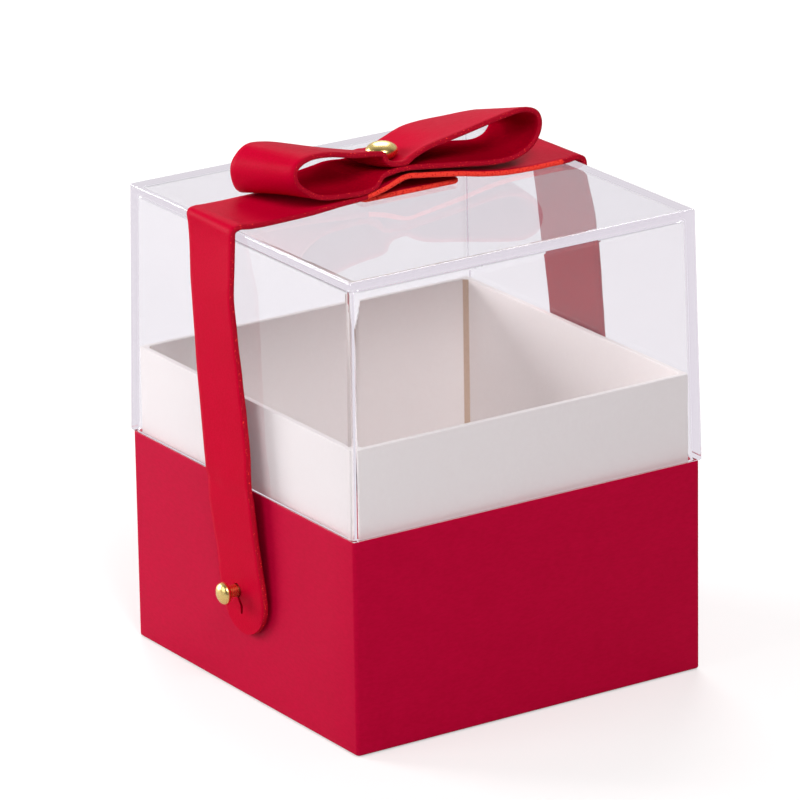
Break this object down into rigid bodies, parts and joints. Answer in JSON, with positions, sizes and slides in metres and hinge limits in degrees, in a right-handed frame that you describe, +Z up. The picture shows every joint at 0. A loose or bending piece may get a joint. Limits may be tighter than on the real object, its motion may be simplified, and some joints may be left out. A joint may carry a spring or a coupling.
{
  "type": "acrylic gift box",
  "caption": "Square covered-board gift box with a white collar, a clear lift-off lid and a leather strap with a bow that buttons over gold side studs.",
  "frame": {"origin": "middle of the box's underside, on the surface it stands on", "axes": "+Z up; +X and -X point out of the two sides that carry the studs and strap ends; the bow lies on the +Y half of the lid"},
  "size_m": [0.097, 0.0858, 0.1148],
  "materials": {
    "leatherette_paper": "fine grained satin coating",
    "bonded_leather": "smooth satin face, raw cut edges",
    "white_board": "uncoated white face",
    "grey_board": "raw",
    "clear_acrylic": "clear, polished, moulded",
    "gold_plated_brass": "polished"
  },
  "bodies": {
    "base": {"base_front_board": "grey_board", "base_back_board": "grey_board", "base_bottom_board": "grey_board", "base_left_board": "grey_board", "base_right_board": "grey_board", "cover_paper": "leatherette_paper", "bottom_sheet": "leatherette_paper", "collar": "white_board", "floor_card": "white_board", "left_stud": "gold_plated_brass", "left_stud_screw": "gold_plated_brass", "right_stud": "gold_plated_brass", "right_stud_screw": "gold_plated_brass"},
    "lid": {"lid_shell": "clear_acrylic", "stud_patch": "bonded_leather", "strap_top_run": "bonded_leather", "bow_strip": "bonded_leather", "centre_stud": "gold_plated_brass", "centre_stud_screw": "gold_plated_brass"},
    "left_strap_end": {"left_strap_end": "bonded_leather"},
    "right_strap_end": {"right_strap_end": "bonded_leather"}
  },
  "joints": [
    {"name": "lid_lift", "type": "slide", "parent": "base", "child": "lid", "axis": [0, 0, 1], "range_m": [0, 0.09]},
    {"name": "left_strap_unbutton", "type": "hinge", "parent": "lid", "child": "left_strap_end", "pos_m": [-0.04192, 0.0083, 0.1003], "axis": [0, 1, 0], "range_deg": [0, 100]},
    {"name": "right_strap_unbutton", "type": "hinge", "parent": "lid", "child": "right_strap_end", "pos_m": [0.04192, 0.0083, 0.1003], "axis": [0, -1, 0], "range_deg": [0, 100]}
  ]
}
